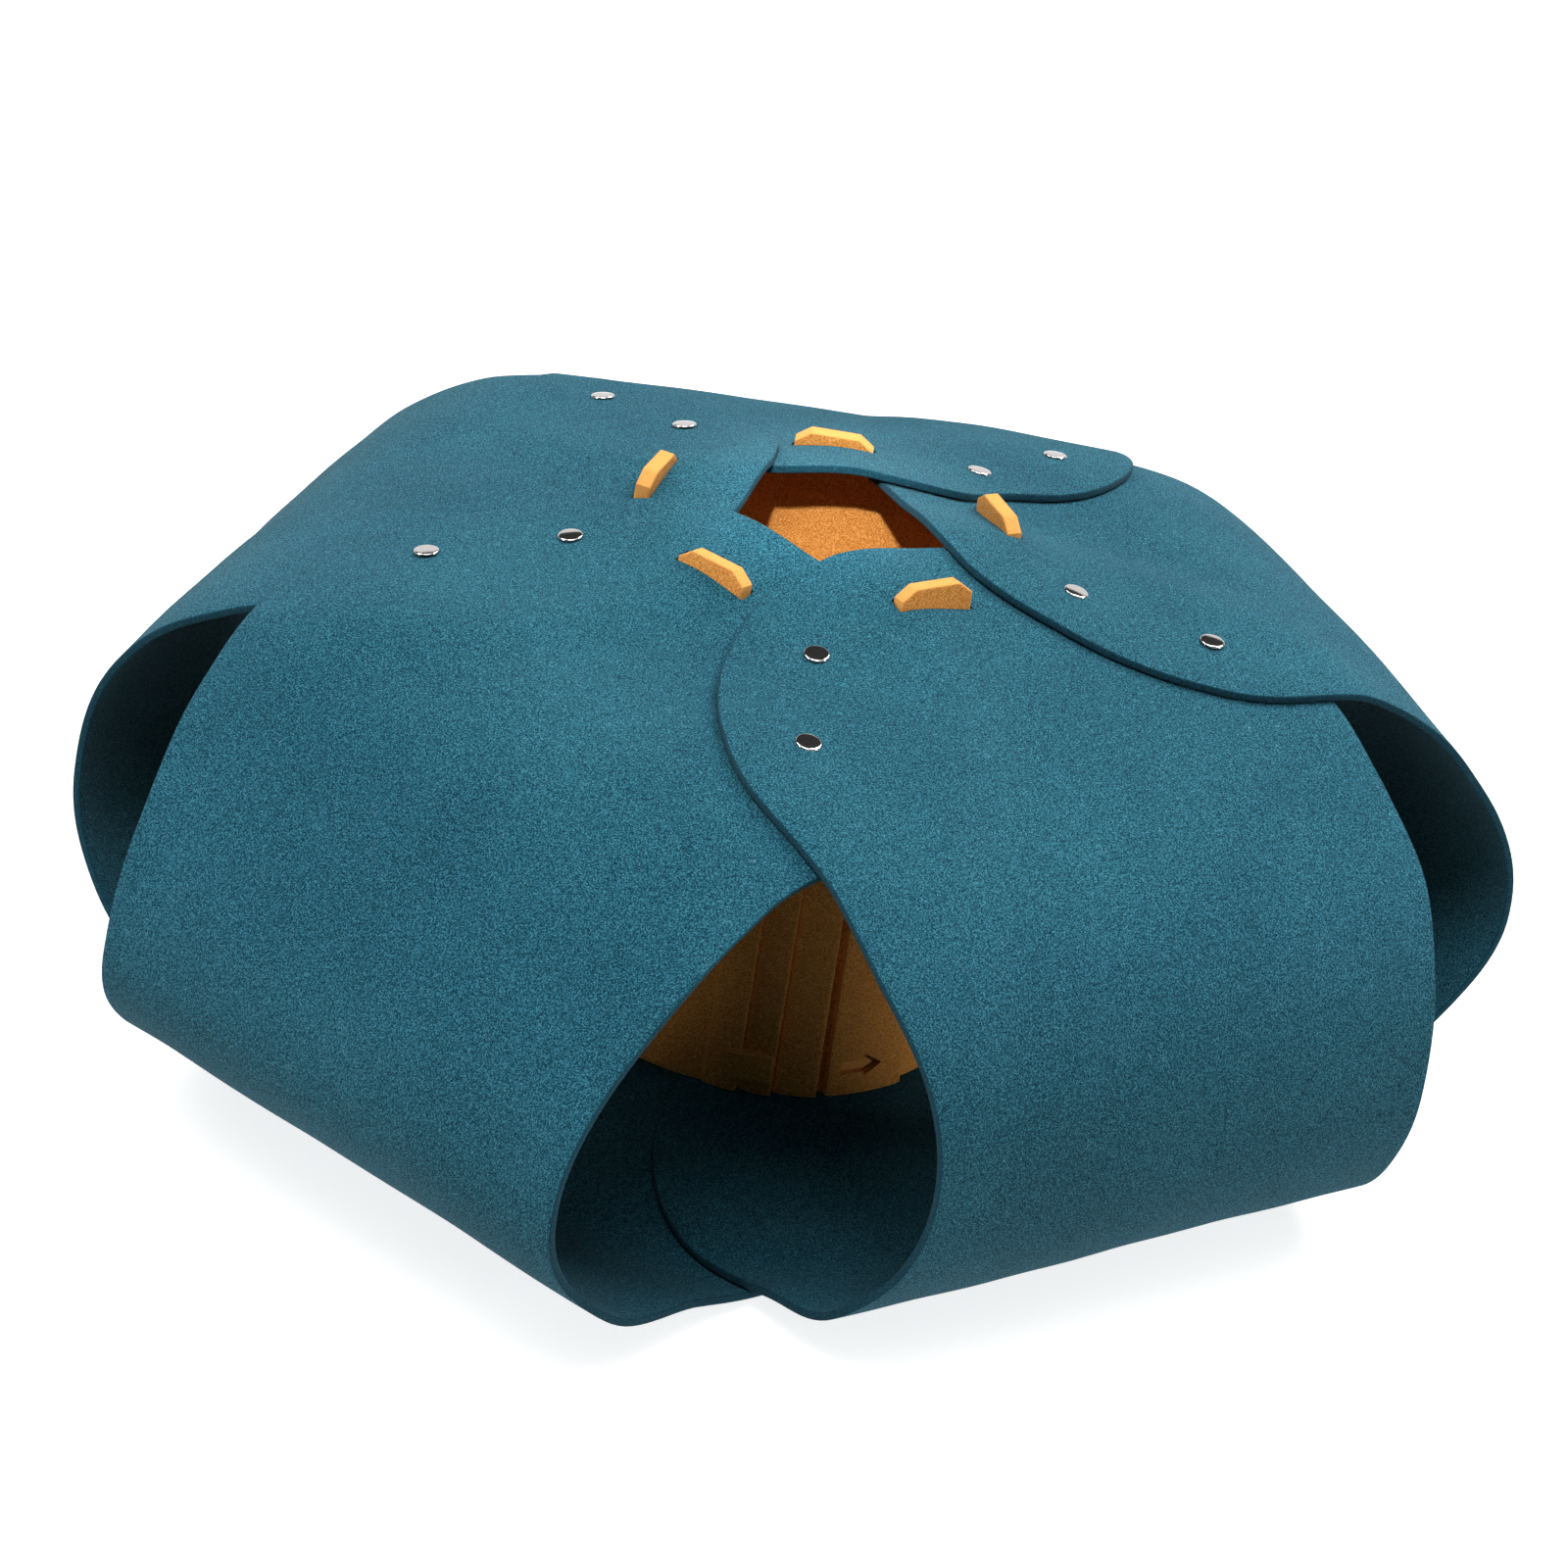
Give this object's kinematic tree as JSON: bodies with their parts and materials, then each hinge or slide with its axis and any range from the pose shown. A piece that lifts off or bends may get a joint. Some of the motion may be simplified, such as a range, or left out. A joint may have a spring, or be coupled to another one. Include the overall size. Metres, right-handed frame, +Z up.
{
  "type": "cat tunnel bed",
  "caption": "Low ring-shaped felt cat tunnel with bent, lapped felt panels, pointed side openings, a hole in the top and an orange felt tube in the middle.",
  "frame": {"origin": "middle of the base of the whole part's bounding box, on the floor", "axes": "+Z up, -Y toward the front opening, +X to the right as seen from the front"},
  "size_m": [0.732, 0.739, 0.2859],
  "materials": {
    "teal_felt": "matt wool-like felt with a fine heather grain",
    "orange_felt": "matt felt",
    "snap_metal": "polished"
  },
  "bodies": {
    "root": {"panel_front_right": "teal_felt", "panel_front_left": "teal_felt", "panel_left": "teal_felt", "panel_back": "teal_felt", "panel_right": "teal_felt", "liner_tube": "orange_felt", "snap_front_right_inner": "snap_metal", "snap_front_right_outer": "snap_metal", "snap_front_left_inner": "snap_metal", "snap_front_left_outer": "snap_metal", "snap_left_inner": "snap_metal", "snap_left_outer": "snap_metal", "snap_back_inner": "snap_metal", "snap_back_outer": "snap_metal", "snap_right_inner": "snap_metal", "snap_right_outer": "snap_metal"}
  },
  "joints": []
}
